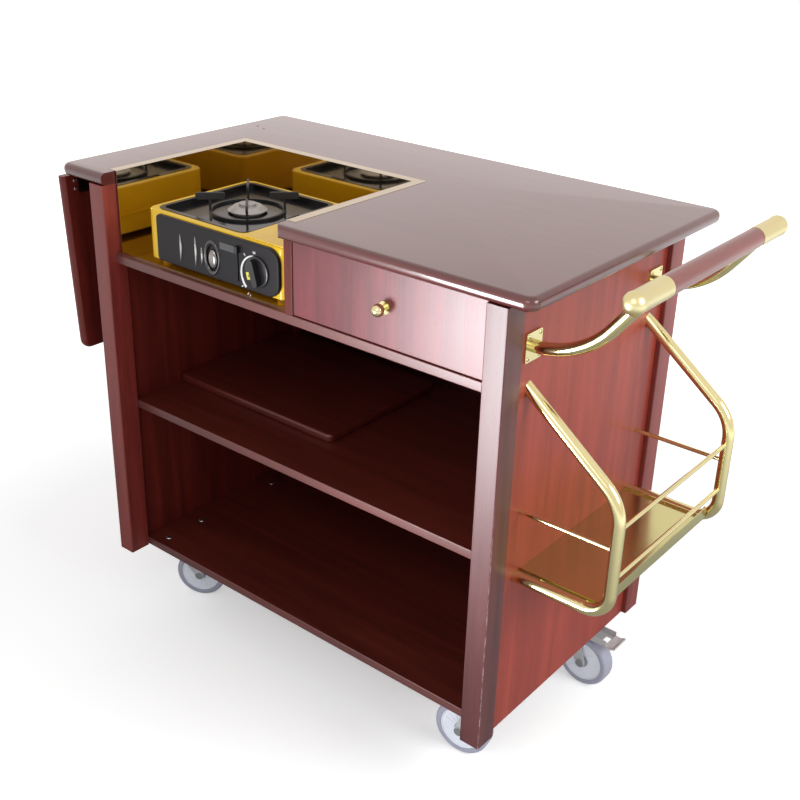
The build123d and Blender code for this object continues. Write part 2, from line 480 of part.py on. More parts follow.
shell = stove_case(0)
shell = fillet(shell.faces().sort_by(Axis.Z)[-1].edges(), 3) - stove_case(ST_T)
shell += block(ST_L - 1.2, ST_L + ST_T / 2, ST_FRONT + ST_ROUND_L, ST_REAR - ST_ROUND_L, HEM_Z,
               HEM_Z + 3)
shell += block(PAN_R - ST_T, PAN_R, ST_FRONT + ST_T / 2, ST_REAR - ST_T / 2, ST_LOW + ST_T / 2,
               ST_TOP - ST_T / 2)


def rounded(x0, x1, y0, y1, z0, z1, r):
    """Block with its upright edges rounded."""
    return fillet(upright(block(x0, x1, y0, y1, z0, z1)), r)


shell -= rounded(PAN_L + 6, PAN_R - 6, PAN_FRONT + 6, PAN_REAR - 6, ST_TOP - 4, ST_TOP + 1, 14)
shell -= rounded(PAN_R + 6, ST_R - 8, PAN_FRONT, PAN_REAR - 6, ST_TOP - 4, ST_TOP + 1, 6)
for x in (ST_L + 25, ST_R - 25):
    for y in (ST_FRONT + 22, ST_REAR - 22):
        shell += bar((x, y, WELL_FLOOR + 0.1), (x, y, ST_LOW + ST_T / 2), 9)
canister = bar((BAY_X, CAN_FRONT, BAY_Z), (BAY_X, CAN_REAR, BAY_Z), CANISTER_R)
canister = fillet(canister.edges().filter_by(GeomType.CIRCLE), 8)
canister += bar((BAY_X, CAN_FRONT + 1, BAY_Z), (BAY_X, CAN_FRONT - 10, BAY_Z), 11)
for y in (CAN_FRONT + 25, CAN_REAR - 26):
    shell += block(BAY_X - 24, BAY_X + 24, y - 2, y + 2, ST_LOW + ST_T / 2, BAY_Z - 20) - bar(
        (BAY_X, CAN_FRONT, BAY_Z), (BAY_X, CAN_REAR, BAY_Z), CANISTER_R)
lid_y, lid_z = ST_REAR - 3, ST_TOP + 4
for x in (PAN_R + 12, ST_R - 16):
    shell += block(x, x + 3, lid_y - 3, ST_REAR - 1, ST_TOP - 1, lid_z + 2.5)
shell += bar((PAN_R + 13, lid_y, lid_z), (ST_R - 14, lid_y, lid_z), 1.2)
keep("stove_body", shell)
keep("stove_canister", canister)

lid = rounded(PAN_R + 2, ST_R - 2, PAN_FRONT - 8, lid_y - 4, ST_TOP + 0.3, ST_TOP + 1.8, 8)
lid += block(PAN_R + 18, ST_R - 19, lid_y - 6, lid_y, ST_TOP + 1.2, ST_TOP + 2.4)
lid += bar((PAN_R + 15 + RUN, lid_y, lid_z), (ST_R - 16 - RUN, lid_y, lid_z), 2.6)
lid -= bar((PAN_R, lid_y, lid_z), (ST_R, lid_y, lid_z), 1.2 + RUN)
keep("stove_lid", lid)

# Control face: thick dark plate with large corners, an oval recess, lever slot and dial hole
plate = block(FACE_L, FACE_R, ST_FRONT - FACE_T, ST_FRONT, FACE_LOW, FACE_TOP)
sides = plate.edges().filter_by(Axis.Y).group_by(Axis.X)
plate = fillet(sides[-1], FACE_ROUND)
plate = fillet(plate.edges().filter_by(Axis.Y).group_by(Axis.X)[0], 8)
plate = fillet(plate.faces().sort_by(Axis.Y)[0].edges(), 2)
face_y = ST_FRONT - FACE_T
plate -= Plane(origin=(OVAL_X, face_y + 3, OVAL_Z), x_dir=(1, 0, 0), z_dir=(0, -1, 0)) * extrude(
    Ellipse(OVAL_W, OVAL_H), 8)
plate -= block(LEVER_X - 1.5, LEVER_X + 1.5, face_y - 1, ST_FRONT - 0.5, LEVER_LOW, LEVER_HIGH)
plate -= bar((DIAL_X, face_y - 1, DIAL_Z), (DIAL_X, ST_FRONT - 2, DIAL_Z), 3 + RUN)
keep("stove_front", plate)

knob = bar((DIAL_X, face_y - RUN, DIAL_Z), (DIAL_X, face_y - 3, DIAL_Z), DIAL_R)
knob += bar((DIAL_X, face_y - 1, DIAL_Z), (DIAL_X, ST_FRONT - 3, DIAL_Z), 3)
grip = fillet(block(-6, 6, face_y - 13, face_y - 2.5, -22.5, 22.5).edges().filter_by(Axis.Y), 5.5)
knob += Pos(DIAL_X, 0, DIAL_Z) * Rot(0, -16, 0) * grip
keep("stove_knob", knob)

lever = block(LEVER_X - 1, LEVER_X + 1, face_y - 3, ST_FRONT - 1, LEVER_HIGH - 12, LEVER_HIGH - 1)
lever += block(LEVER_X - 3.5, LEVER_X + 3.5, face_y - 6, face_y - 1, LEVER_HIGH - 12, LEVER_HIGH - 1)
keep("stove_lever", lever)

pan = rounded(PAN_L, PAN_R - 1, PAN_FRONT, PAN_REAR, ST_TOP, ST_TOP + 1.2, 18)
pan += rounded(PAN_L + 7, PAN_R - 7, PAN_FRONT + 7, PAN_REAR - 7, ST_TOP - PAN_DEEP, ST_TOP + 0.5, 13)
pan -= rounded(PAN_L + 8.2, PAN_R - 8.2, PAN_FRONT + 8.2, PAN_REAR - 8.2, ST_TOP - PAN_DEEP + 1.2,
               ST_TOP + 3, 12)
pan -= Pos(BURNER_X, BURNER_Y, ST_TOP - PAN_DEEP) * Cylinder(30, 8)
keep("stove_drip_pan", pan)

burner = Pos(BURNER_X, BURNER_Y) * (
    Pos(0, 0, (ST_LOW + ST_T + ST_TOP - 18) / 2) * Cylinder(11, ST_TOP - 18 - ST_LOW - ST_T)
    + Pos(0, 0, ST_TOP - 12) * Cylinder(28, 14)
    + Pos(0, 0, ST_TOP - 1.5) * Cone(34, 24, 7) + Pos(0, 0, ST_TOP + 4) * Cylinder(15, 4))
keep("stove_burner", burner)

foot_z, arm_z, arm_top = ST_TOP - PAN_DEEP + 1.2 + RUN, ST_TOP + 13, ST_TOP + 25
ring = Cylinder(66, 4) - Cylinder(61, 6)
trivet = Pos(BURNER_X, BURNER_Y, foot_z + 2) * ring
for k in range(4):
    turn = Pos(BURNER_X, BURNER_Y, 0) * Rot(0, 0, 45 + 90 * k)
    trivet += turn * block(61.5, 65.5, -2, 2, foot_z + 1, arm_top - 2)
    trivet += turn * fillet(block(38, 88, -2, 2, arm_z, arm_top).edges().filter_by(Axis.Y), 4)
keep("stove_trivet", trivet)

# Move the assembly so that the origin is the middle of its footprint, on the floor
boxes = [shape.bounding_box() for shape in nodes.values()]
shift = Pos(-(min(b.min.X for b in boxes) + max(b.max.X for b in boxes)) / 2,
            -(min(b.min.Y for b in boxes) + max(b.max.Y for b in boxes)) / 2, CASTER_H)
for name, shape in nodes.items():
    placed = shift * shape
    placed.label = name
    export_step(placed, f"parts/{name}.step")
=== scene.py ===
# %% [markdown]
# # Tableside cooking cart
# A mahogany-coloured serving cart with a drop leaf, a gold-plated push bar and rack, and a
# steel-lined well that holds a yellow gas stove. The CAD model is the fixed frame: it is loaded
# first, and everything made here is laid over it in the same coordinates, in metres.

# %% Load the frame
import json
import math
import bpy
from mathutils import Matrix, Vector


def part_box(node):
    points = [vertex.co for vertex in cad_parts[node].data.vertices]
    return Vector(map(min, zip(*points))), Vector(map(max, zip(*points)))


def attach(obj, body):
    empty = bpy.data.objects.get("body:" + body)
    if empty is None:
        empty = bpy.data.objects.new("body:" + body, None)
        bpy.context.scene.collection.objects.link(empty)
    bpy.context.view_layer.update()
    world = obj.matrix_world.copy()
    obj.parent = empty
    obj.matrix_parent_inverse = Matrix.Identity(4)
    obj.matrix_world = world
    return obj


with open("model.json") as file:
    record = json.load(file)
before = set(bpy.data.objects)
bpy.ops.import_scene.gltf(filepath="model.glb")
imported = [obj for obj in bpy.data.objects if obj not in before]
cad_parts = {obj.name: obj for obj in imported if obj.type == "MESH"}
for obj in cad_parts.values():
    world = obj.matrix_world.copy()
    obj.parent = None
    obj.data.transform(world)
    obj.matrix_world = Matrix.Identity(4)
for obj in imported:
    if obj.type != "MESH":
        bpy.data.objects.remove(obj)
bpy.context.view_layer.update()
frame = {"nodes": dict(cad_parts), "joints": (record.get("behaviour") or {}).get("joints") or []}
nodes = frame["nodes"]
joints = {j["name"]: j for j in frame["joints"]}
print("CAD nodes:", len(nodes), "joints:", len(joints))

# %% [markdown]
# Distances on the cart are easiest to think of from the carcass itself: its middle in X and Y and
# the lower ends of its posts in Z, in millimetres. One function turns such a point into the frame's
# metres, and it reads the posts' own boxes, so nothing has to be typed twice.

# %% Points on the carcass
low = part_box("post_front_left")[0]
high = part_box("post_rear_right")[1]
CENTRE = Vector(((low.x + high.x) / 2, (low.y + high.y) / 2, low.z))


def at(x, y, z):
    """Carcass millimetres to a point in the frame."""
    return CENTRE + Vector((x, y, z)) / 1000


print("carcass centre:", [round(v, 4) for v in CENTRE])

# %% [markdown]
# Shader and geometry trees both hold sums of many small nodes. Wrapping a socket in a class with
# Python's operators lets each pattern be read as a formula. Only plain numbers go through Math
# nodes; colours are mixed with Mix nodes.


# %% Expressions on sockets
class Value:
    """A socket that can stand in a formula; every operator adds one Math node."""

    def __init__(self, tree, socket):
        self.tree, self.socket = tree, socket

    def math(self, operation, *others):
        return add(self.tree, "ShaderNodeMath", {"operation": operation},
                   dict(enumerate([self, *others])))

    def __add__(self, other):
        return self.math("ADD", other)

    def __sub__(self, other):
        return self.math("SUBTRACT", other)

    def __mul__(self, other):
        return self.math("MULTIPLY", other)

    def __truediv__(self, other):
        return self.math("DIVIDE", other)

    def __rsub__(self, other):
        return add(self.tree, "ShaderNodeMath", {"operation": "SUBTRACT"}, {0: other, 1: self})

    __radd__, __rmul__ = __add__, __mul__

    def length(self):
        return add(self.tree, "ShaderNodeVectorMath", {"operation": "LENGTH"}, {0: self}, "Value")

    def between(self, start, end):
        """0 before start, 1 past end, straight in between; end may be the lower one."""
        return ((self - start) / (end - start)).math("MAXIMUM", 0.0).math("MINIMUM", 1.0)


def add(tree, kind, settings=None, inputs=None, out=0):
    """Add one node: settings first, then the values or links of its sockets."""
    node = tree.nodes.new(kind)
    for key, value in (settings or {}).items():
        setattr(node, key, value)
    for key, value in (inputs or {}).items():
        if isinstance(value, Value):
            tree.links.new(value.socket, node.inputs[key])
        else:
            node.inputs[key].default_value = value
    return Value(tree, node.outputs[out])


# %% [markdown]
# A finish is one Principled surface. Colours are written as they look, in sRGB, and turned to the
# linear numbers that the renderer wants. What varies over a surface feeds colour, roughness or bump
# only; whatever is the same everywhere is set on the socket.


# %% Colours
def colour(r, g, b):
    """An sRGB colour of 0 to 255 in linear light."""
    def linear(v):
        v = v / 255
        return v / 12.92 if v <= 0.04045 else ((v + 0.055) / 1.055) ** 2.4
    return (linear(r), linear(g), linear(b), 1.0)


def darker(base, share):
    """A colour with only a share of its light."""
    return tuple(c * share for c in base[:3]) + (1.0,)


# %% Finishes
class Finish:
    """A material with one Principled surface."""

    def __init__(self, name, **sockets):
        self.material = bpy.data.materials.new(name)
        self.material.use_nodes = True
        self.tree = self.material.node_tree
        self.tree.nodes.clear()
        self.surface = self.tree.nodes.new("ShaderNodeBsdfPrincipled")
        end = self.tree.nodes.new("ShaderNodeOutputMaterial")
        self.tree.links.new(self.surface.outputs[0], end.inputs[0])
        for key, value in sockets.items():
            self.set(key.replace("_", " "), value)

    def set(self, socket, value):
        if isinstance(value, Value):
            self.tree.links.new(value.socket, self.surface.inputs[socket])
        else:
            self.surface.inputs[socket].default_value = value

    def add(self, kind, settings=None, inputs=None, out=0):
        return add(self.tree, kind, settings, inputs, out)

    def place(self, scale=(1, 1, 1)):
        """Object coordinates, stretched along an axis where its scale is small."""
        here = self.add("ShaderNodeTexCoord", out="Object")
        return self.add("ShaderNodeMapping", {}, {"Vector": here, "Scale": scale})

    def axis(self, name):
        """One of the Object coordinates: X, Y or Z, in metres."""
        return self.add("ShaderNodeSeparateXYZ", {}, {0: self.place()}, name)

    def noise(self, place, scale, detail=3.0, rough=0.55, warp=0.0):
        return self.add("ShaderNodeTexNoise", {}, {"Vector": place, "Scale": scale, "Detail": detail,
                                                   "Roughness": rough, "Distortion": warp})

    def mix(self, share, first, second, blend="MIX"):
        return self.add("ShaderNodeMix", {"data_type": "RGBA", "blend_type": blend},
                        {0: share, 6: first, 7: second}, 2)

    def bump(self, height, strength, distance=0.001):
        self.set("Normal", self.add("ShaderNodeBump", {}, {"Height": height, "Strength": strength,
                                                           "Distance": distance}))


# %% [markdown]
# Along the near post's outer corner a pale broken line is painted into the colour: partly a
# painted highlight on the corner, partly lacquer chipped through to the pale wood. A mask in the
# material is enough for that and needs no mesh of its own: a narrow strip along the corner, cut up
# by a noise, that fades out halfway up the post.

# %% Painted highlight and wear on a corner
CORNER_WIDE, CORNER_SOFT = 0.0014, 0.0004         # the strip, and its soft side
CORNER_END, CORNER_FULL = 0.6, 0.4                # heights where it has faded out and where it is whole
BREAK_STRETCH, BREAK_SCALE = (1, 1, 0.35), 150.0


def highlight_and_wear(f, low, high):
    """Share of painted highlight and bare wood, up to 0.6, along the front right corner of this post
    box.
    """
    x, y, z = (f.axis(name) for name in "XYZ")
    strip = ((x - (high.x - CORNER_WIDE)).between(0, CORNER_SOFT)
             * (y - (low.y + CORNER_WIDE)).between(CORNER_SOFT, 0))
    breaks = f.noise(f.place(BREAK_STRETCH), BREAK_SCALE, 3.0, 0.7).between(0.46, 0.56)
    return strip * (breaks * 0.5 + 0.1) * z.between(CORNER_END, CORNER_FULL)


# %% [markdown]
# The cart is faced with dark red mahogany veneer under satin lacquer. Real veneer shows three
# things at three scales: broad cathedral bands, fine straight streaks, and short dark pores. All
# three are noises stretched along the grain. Contour lines of the broadest one give the bands.

# %% Mahogany
STRETCH = {"X": (0.05, 1.0, 1.0), "Y": (1.0, 0.05, 1.0), "Z": (1.0, 1.0, 0.05)}
BAND_SCALE, STREAK_SCALE, HAIR_SCALE, PORE_SCALE = 6.0, 95.0, 420.0, 520.0
BANDS_PER_NOISE, PORE_SHORTER = 9, 4        # bands over the noise's range; how much shorter pores are
# Pale pink for the painted highlight and chipped lacquer on a post's corner, then for the painted
# sheen on front edges.
HIGHLIGHT_AND_BARE_WOOD, EDGE_SHEEN = colour(180, 156, 156), colour(142, 104, 104)
INNER_SHADE = (0.34, 0.28, 0.3, 1)               # painted shade: what the colour inside the cupboard is multiplied by


def mahogany(name, along, deep, warm, roughness=0.4, coat=0.0, coat_rough=0.3, shine=0.5,
             figure=0.30, streaks=0.38, highlit_worn=None, inner=None, edge=None):
    """Stained veneer with its grain along one axis.

    A post's box, where given, gets a painted highlight with some lacquer chipped through along its
    front corner. Left of inner, in X, the colour is darkened as painted shade for the inside of the
    cupboard. In front of edge, in Y, a little pale colour is mixed in as a painted sheen on the front
    edges of the boards.
    """
    f = Finish(name, Coat_Weight=coat, Coat_Roughness=coat_rough, Coat_IOR=1.5,
               Specular_IOR_Level=shine)
    grain = f.place(STRETCH[along])
    broad = f.noise(grain, BAND_SCALE, 2.0, 0.45, 0.35)
    bands = (broad * BANDS_PER_NOISE).math("PINGPONG", 0.5) * 2
    fine = f.noise(grain, STREAK_SCALE, 4.0, 0.65)
    hair = f.noise(grain, HAIR_SCALE, 2.0, 0.6)
    short = tuple(s * (PORE_SHORTER if s < 1 else 1) for s in STRETCH[along])
    pore = f.noise(f.place(short), PORE_SCALE, 1.0).between(0.62, 0.74)
    tone = (bands * figure + fine.between(0.3, 0.7) * streaks + hair * 0.3).between(0.1, 0.9)
    stain = f.mix(pore * 0.35, f.mix(tone, deep, warm), darker(deep, 0.4))
    # Painted highlight, with some lacquer chipped through, along a post's front corner.
    if highlit_worn:
        stain = f.mix(highlight_and_wear(f, *highlit_worn), stain, HIGHLIGHT_AND_BARE_WOOD)
    # Painted shade: inside the cupboard the colour is multiplied darker.
    if inner:
        stain = f.mix((f.axis("X") - inner).between(0, -0.001), stain, INNER_SHADE, "MULTIPLY")
    # Painted sheen: a little pale colour on the front edges of the boards.
    if edge:
        stain = f.mix((f.axis("Y") - edge).between(0, -0.0002) * 0.2, stain, EDGE_SHEEN)
    f.set("Base Color", stain)
    f.set("Roughness", fine * 0.10 + (roughness - 0.05))
    f.bump(hair * 0.6 - pore, 0.06, 0.0006)
    return f.material


# %% [markdown]
# No two boards took the stain alike: the right end is the brightest red outside, the back is nearly
# black, and the top has the thickest and glossiest coat. Inside the cupboard the right end is
# darkened as painted shade, and the posts are given lighter or darker colours as painted light, to
# match the light on each. So each wood is the same recipe with two colours of its own, the deep and
# the warm end of its grain.

# %% The cart's woods
SHADE_INSET, SHEEN_DEPTH = 0.002, 0.0006          # how far in the painted inner shade starts, and how deep the painted edge sheen goes

upright_wood = mahogany("mahogany, grain upright", "Z", colour(72, 22, 18), colour(122, 42, 34),
                        roughness=0.42, shine=0.3)
# Inside the cupboard the right end is darkened as painted shade.
panel_wood = mahogany("mahogany, right end", "Z", colour(128, 44, 34), colour(172, 68, 52),
                      roughness=0.38, inner=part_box("end_panel_right")[1].x - SHADE_INSET)
front_wood = mahogany("mahogany, drawer front", "Z", colour(78, 25, 32), colour(126, 46, 52),
                      roughness=0.36, coat=0.3, coat_rough=0.34)
# The shelves' front edges carry a painted sheen.
shelf_wood = mahogany("mahogany, shelves", "X", colour(68, 23, 17), colour(106, 40, 31),
                      roughness=0.36, shine=0.6, edge=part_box("middle_shelf")[0].y + SHEEN_DEPTH)
inner_wood = mahogany("mahogany, back", "Z", colour(36, 13, 11), colour(60, 23, 18),
                      roughness=0.45, shine=0.2)
# Painted light: these posts have the same veneer as the near post, given lighter colours to match the
# light on them.
post_wood = mahogany("mahogany, posts", "Z", colour(98, 31, 28), colour(148, 55, 47),
                     roughness=0.44, coat=0.25, coat_rough=0.34)
# The near post carries the painted highlight and chipped lacquer along its corner.
highlit_corner_wood = mahogany("mahogany, post with painted corner highlight and wear", "Z", colour(66, 27, 30), colour(104, 48, 48),
                       coat=0.3, coat_rough=0.38, highlit_worn=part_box("post_front_right"))
top_wood = mahogany("mahogany, glossy top", "X", colour(72, 23, 23), colour(106, 38, 36),
                    roughness=0.3, coat=1.0, coat_rough=0.1, figure=0.2, streaks=0.25)
leaf_wood = mahogany("mahogany, leaf", "Z", colour(74, 23, 20), colour(122, 42, 35),
                     roughness=0.36, coat=0.2, coat_rough=0.15, shine=0.2)
grip_wood = mahogany("mahogany, grip", "Y", colour(112, 52, 48), colour(150, 78, 72),
                     roughness=0.3, coat=0.6, coat_rough=0.12)
print("materials after the woods:", len(bpy.data.materials))

# %% [markdown]
# The metals differ mainly in colour and in how sharp they reflect. Gold-plated tube is a pale
# yellow mirror with faint polishing lines, the liner is mirror-finished stainless steel whose colour
# is darkened and warmed as painted shade and tint in what it reflects, and the casters are nickel
# plate, bright on the plates and axles and dull on the forks and pedals. A little noise in the
# roughness keeps them from looking like perfect glass.


# %% Metals
def metal(name, base, roughness, spread=0.06, scale=(1, 1, 1), fine=160.0, metallic=1.0):
    """Plated or polished metal; spread is how much its roughness varies."""
    f = Finish(name, Metallic=metallic)
    cloud = f.noise(f.place(), 9.0, 2.0)
    lines = f.noise(f.place(scale), fine, 2.0)
    f.set("Base Color", f.mix(cloud.between(0.35, 0.7) * 0.35, base, darker(base, 0.86)))
    f.set("Roughness", roughness + (lines - 0.5) * spread + (cloud - 0.5) * spread)
    f.bump(lines, 0.012, 0.0003)
    return f.material


gold = metal("gold plate", colour(230, 220, 166), 0.14)
# The tray's gold is a little darker and more olive than the tubes': painted shade for what the tray
# reflects.
tray_gold = metal("gold plate, tray", colour(214, 208, 148), 0.18)
gold_cap = metal("gold plate, satin", colour(228, 218, 166), 0.30, 0.08)
# The liner's colour is darker and warmer than bare steel: painted shade and tint in its reflections.
mirror_steel = metal("mirror stainless", colour(206, 192, 168), 0.06, 0.03, (1, 1, 0.05), 300.0)
nickel = metal("bright nickel", colour(214, 214, 216), 0.18)
stamped_nickel = metal("stamped pedal, nickel", colour(206, 206, 208), 0.4, 0.1, metallic=0.3)
zinc = metal("zinc plate", colour(196, 200, 204), 0.34, 0.14)
bronze = metal("dark bronze", colour(84, 66, 54), 0.38)
aluminium = metal("cast aluminium", colour(176, 174, 170), 0.5, 0.2)
smoked_chrome = metal("smoked chrome", colour(150, 146, 144), 0.08)

# %% [markdown]
# Enamel and plastics are dielectric: a plain base colour under a clear gloss. Dust and handling
# show as slow changes in roughness, and the iron, the rubber and the nylon have a very fine grain
# in the bump.


# %% Enamel, plastic and rubber
def gloss(name, base, roughness, coat=0.0, mottle=0.06, grain=0.0, grain_scale=900.0, shine=0.5):
    """A painted or moulded surface; mottle is how much its roughness varies."""
    f = Finish(name, Coat_Weight=coat, Coat_Roughness=0.06, Specular_IOR_Level=shine)
    cloud = f.noise(f.place(), 14.0, 3.0)
    f.set("Base Color", f.mix(cloud.between(0.45, 0.8) * 0.35, base, darker(base, 0.8)))
    f.set("Roughness", roughness + (cloud - 0.5) * mottle)
    f.bump(f.noise(f.place(), grain_scale, 2.0), grain, 0.0004)
    return f.material


yellow = gloss("yellow enamel", colour(252, 204, 36), 0.26, coat=0.25, shine=0.25)
charcoal = gloss("charcoal face", colour(27, 24, 28), 0.42, shine=0.3)
black_plastic = gloss("black plastic", colour(24, 22, 26), 0.3, coat=0.3)
black_enamel = gloss("black enamel", colour(17, 16, 17), 0.2, coat=0.3, shine=0.25)
iron = gloss("enamelled iron", colour(28, 27, 28), 0.45, mottle=0.1, grain=0.25, grain_scale=700.0)
white_paint = gloss("white enamel", colour(226, 226, 224), 0.25, coat=0.5)
glass_black = gloss("polished black", colour(22, 21, 24), 0.08, coat=1.0, mottle=0.02)
ink = gloss("printed white", colour(240, 240, 240), 0.5)
mark_yellow = gloss("printed yellow", colour(236, 226, 96), 0.45)
tread = gloss("grey rubber", colour(168, 170, 188), 0.55, mottle=0.1, grain=0.12, grain_scale=1200.0)
disc_grey = gloss("light grey nylon", colour(236, 240, 250), 0.4, mottle=0.08, grain=0.05)
shadow = gloss("dark hole", colour(16, 10, 10), 0.8)
print("materials after the plastics:", len(bpy.data.materials))

# %% [markdown]
# Each CAD node takes one of these finishes. Its mesh arrives as loose triangles, so a Weld modifier
# joins them, the faces are smoothed, and an Edge Split keeps every real corner sharp. That makes a
# bent tube look round without touching the node itself.

# %% Dress the CAD nodes
dress = {
    upright_wood: ["end_panel_left", "drawer_divider"],
    panel_wood: ["end_panel_right"],
    front_wood: ["drawer_front"],
    shelf_wood: ["bottom_shelf", "middle_shelf", "deck_board", "cover_board", "runner_spacer",
                 "drawer_sides", "drawer_back", "drawer_bottom"],
    inner_wood: ["back_panel"],
    post_wood: ["post_front_left", "post_rear_left", "post_rear_right"],
    highlit_corner_wood: ["post_front_right"],
    top_wood: ["top_board"],
    leaf_wood: ["drop_leaf"],
    grip_wood: ["handle_grip"],
    gold: ["handle_arm_front", "handle_arm_rear", "rack_side_front", "rack_side_rear",
           "rack_guard_rods", "rack_end_rods", "rack_cross_rods", "drawer_knob"],
    tray_gold: ["rack_tray"],
    gold_cap: ["handle_cap_front", "handle_cap_rear"],
    mirror_steel: ["well_liner"],
    zinc: ["drawer_runners", "drawer_slides"],
    bronze: ["leaf_hinge_fixed", "leaf_hinge_moving"],
    nickel: ["caster_plates"] + [n for n in nodes if n.startswith("caster_axle")],
    stamped_nickel: [n for n in nodes if n.startswith(("brake_pedal", "caster_fork"))],
    tread: [n for n in nodes if n.startswith("caster_wheel")],
    yellow: ["stove_body", "stove_lid"],
    charcoal: ["stove_front"],
    black_plastic: ["stove_knob", "stove_lever"],
    black_enamel: ["stove_drip_pan"],
    iron: ["stove_trivet"],
    aluminium: ["stove_burner"],
    white_paint: ["stove_canister"],
}


def smooth(obj, angle=32):
    """Round surfaces shade round and corners stay sharp."""
    obj.data.polygons.foreach_set("use_smooth", [True] * len(obj.data.polygons))
    weld = obj.modifiers.new("weld", "WELD")
    weld.merge_threshold = 0.00002
    split = obj.modifiers.new("corners", "EDGE_SPLIT")
    split.split_angle = math.radians(angle)


for finish, names in dress.items():
    for name in names:
        nodes[name].data.materials.clear()
        nodes[name].data.materials.append(finish)
        smooth(nodes[name])
print("dressed:", sum(len(v) for v in dress.values()), "of", len(nodes))

# %% [markdown]
# Screws, bolt heads and ribs repeat, so they are made by Geometry Nodes. A tree has named inputs
# for its sizes, and it ends by realizing its copies, because an exported model has no instances.


# %% Starting and ending a tree
def new_tree(name, *sockets):
    """An empty tree and its inputs, each given as (label, kind, default)."""
    tree = bpy.data.node_groups.new(name, "GeometryNodeTree")
    for label, kind, default in sockets:
        item = tree.interface.new_socket(label, in_out="INPUT", socket_type="NodeSocket" + kind)
        if default is not None:
            item.default_value = default
    tree.interface.new_socket("Result", in_out="OUTPUT", socket_type="NodeSocketGeometry")
    inside = tree.nodes.new("NodeGroupInput")
    ask = {label: Value(tree, inside.outputs[label]) for label, _, _ in sockets}
    return tree, ask


def vector(tree, x=0.0, y=0.0, z=0.0):
    """A vector from numbers or sockets."""
    return add(tree, "ShaderNodeCombineXYZ", {}, {0: x, 1: y, 2: z})


def join(tree, parts):
    """One geometry out of several."""
    node = tree.nodes.new("GeometryNodeJoinGeometry")
    for part in parts:
        tree.links.new(part.socket, node.inputs[0])
    return Value(tree, node.outputs[0])


def paint(tree, geometry, material):
    """Give geometry a material."""
    return add(tree, "GeometryNodeSetMaterial", {}, {"Geometry": geometry, "Material": material})


def end_tree(tree, geometry):
    """Make the copies real and send them out."""
    done = add(tree, "GeometryNodeRealizeInstances", {}, {0: geometry})
    tree.links.new(done.socket, tree.nodes.new("NodeGroupOutput").inputs[0])
    return tree


# %% [markdown]
# The first tree puts a low domed head on every point of a bare mesh, with a dark cross on it as
# painted shade for the cross recess, and turns it to the direction that the point remembers.

# %% A tree that sets screws
RECESS_ARMS = ((1.1, 0.2), (0.2, 1.1))      # size of each arm of the cross, in head radii
RECESS_THICK, RECESS_UP = 0.3, 0.88         # in head heights


def screw_tree():
    """Domed heads with a dark cross as painted shade for the recess, one on each point."""
    tree, ask = new_tree("screw heads", ("Points", "Geometry", None), ("Radius", "Float", 0.004),
                         ("Height", "Float", 0.0015), ("Head", "Material", None),
                         ("Recess", "Material", None))
    radius, height = ask["Radius"], ask["Height"]
    head = add(tree, "GeometryNodeMeshUVSphere", {}, {"Segments": 20, "Rings": 10, "Radius": 1.0})
    head = add(tree, "GeometryNodeTransform", {},
               {"Geometry": head, "Scale": vector(tree, radius, radius, height)})
    head = add(tree, "GeometryNodeSetShadeSmooth", {}, {0: paint(tree, head, ask["Head"])})
    parts = [head]
    # The recess is not cut: two dark bars on the head are painted shade for it.
    for wide, deep in RECESS_ARMS:
        size = vector(tree, radius * wide, radius * deep, height * RECESS_THICK)
        arm = add(tree, "GeometryNodeMeshCube", {}, {"Size": size})
        arm = add(tree, "GeometryNodeTransform", {},
                  {"Geometry": arm, "Translation": vector(tree, z=height * RECESS_UP)})
        parts.append(paint(tree, arm, ask["Recess"]))
    facing = add(tree, "GeometryNodeInputNamedAttribute", {"data_type": "FLOAT_VECTOR"},
                 {"Name": "facing"})
    turn = add(tree, "FunctionNodeAlignRotationToVector", {"axis": "Z"}, {"Vector": facing})
    heads = add(tree, "GeometryNodeInstanceOnPoints", {},
                {"Points": ask["Points"], "Instance": join(tree, parts), "Rotation": turn})
    return end_tree(tree, heads)


# %% Running a tree
def show(name, mesh, body, slot):
    """Make a mesh an object of its own that rides on a body."""
    piece = bpy.data.objects.new(name, mesh)
    bpy.context.scene.collection.objects.link(piece)
    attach(piece, body)
    return piece


def grow(name, tree, mesh, body, slot, place=Matrix(), **values):
    """Run a tree on a mesh, put the result in its place and let it ride on a body."""
    source = bpy.data.objects.new(name + "_source", mesh)
    bpy.context.scene.collection.objects.link(source)
    run = source.modifiers.new("tree", "NODES")
    run.node_group = tree
    for item in tree.interface.items_tree:
        if item.in_out == "INPUT" and item.name in values:
            run[item.identifier] = values[item.name]
    bpy.context.view_layer.update()
    made = bpy.data.meshes.new_from_object(
        source.evaluated_get(bpy.context.evaluated_depsgraph_get()))
    source.modifiers.remove(run)
    bpy.data.objects.remove(source)
    made.transform(place)
    return show(name, made, body, slot)


def points(places):
    """A bare mesh of points that remember which way they face."""
    mesh = bpy.data.meshes.new("points")
    mesh.from_pydata([p for p, _ in places], [], [])
    facing = mesh.attributes.new("facing", "FLOAT_VECTOR", "POINT")
    for slot, (_, way) in zip(facing.data, places):
        slot.vector = way
    return mesh


# %% [markdown]
# Four screws hold each wall plate of the push bar, and two bolt heads of each caster show on the
# bottom shelf. Places come from the nodes' boxes, or from the carcass in millimetres.

# %% Handle screws and caster bolts
PLATE_T, PLATE_MIDDLE = 0.003, at(0, 0, 660).z
PLATE_SCREWS = [(dy, dz) for dy in (-0.0145, 0.0145) for dz in (-0.0165, 0.0165)]
CASTER_X, CASTER_Y, BOLT_OUT, SHELF_TOP = 368, 144, 43, 17
SIDES = (-1, 1)

